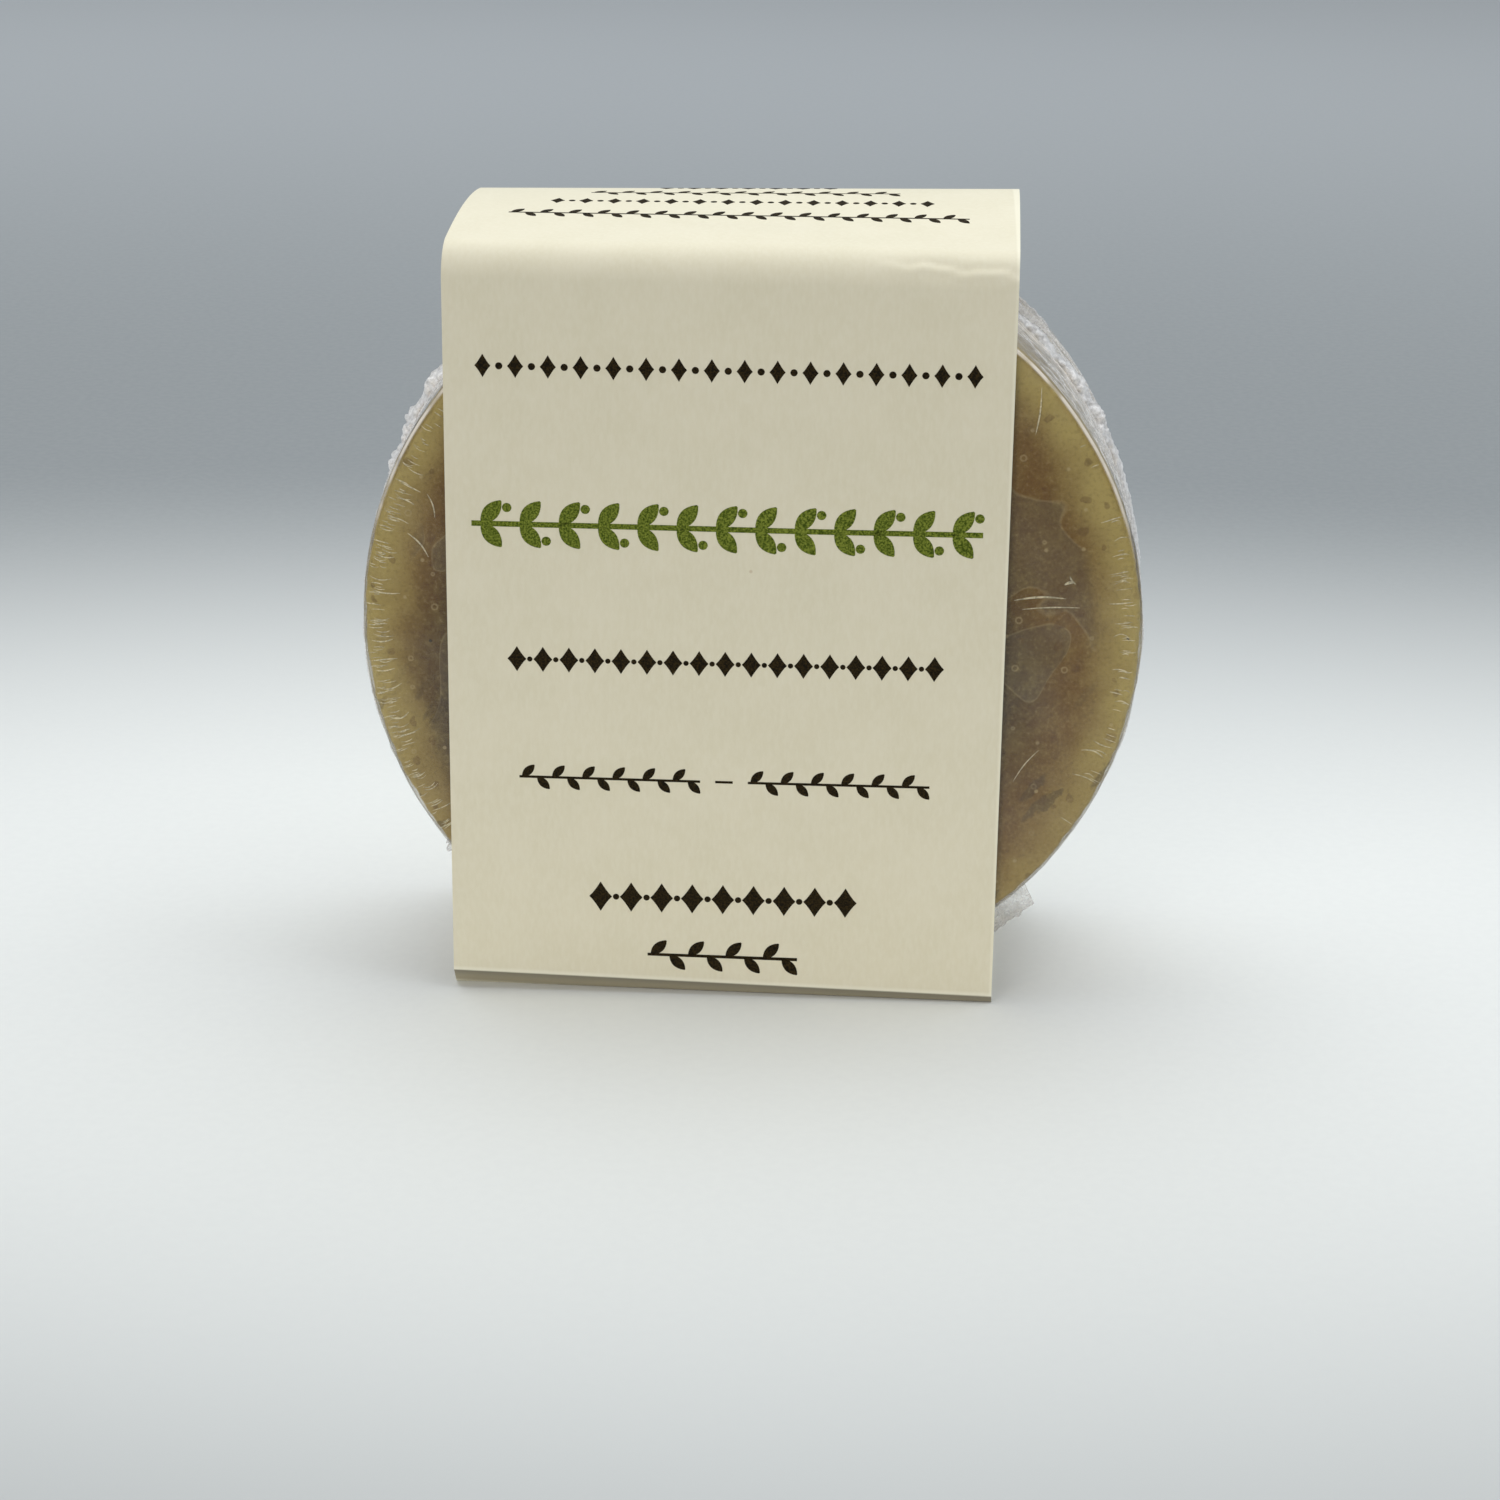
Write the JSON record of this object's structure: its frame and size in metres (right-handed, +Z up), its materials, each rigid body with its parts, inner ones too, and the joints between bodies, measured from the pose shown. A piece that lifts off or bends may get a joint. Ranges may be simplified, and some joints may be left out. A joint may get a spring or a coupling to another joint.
{
  "type": "shaving soap puck",
  "caption": "Round shaving soap puck in clear shrink film, standing on edge in a folded paper band that slides off sideways.",
  "frame": {"origin": "on the flat underside of the paper band, straight under the puck's axis and midway through its thickness", "axes": "+Z up; the front face looks along -Y and the puck's axis runs along Y; +X to the right seen from the front"},
  "size_m": [0.0782, 0.0271, 0.0777],
  "materials": {
    "soap": "satin",
    "film": "gloss",
    "film_weld": "satin",
    "band_paper": "matte",
    "glue": "satin"
  },
  "bodies": {
    "puck": {"soap_puck": "soap", "film_front": "film", "film_back": "film", "film_seam": "film_weld"},
    "band": {"paper_band": "band_paper", "band_glue": "glue"}
  },
  "joints": [
    {"name": "band_slide", "type": "slide", "parent": "puck", "child": "band", "axis": [1, 0, 0], "range_m": [-0.065, 0.07]}
  ]
}
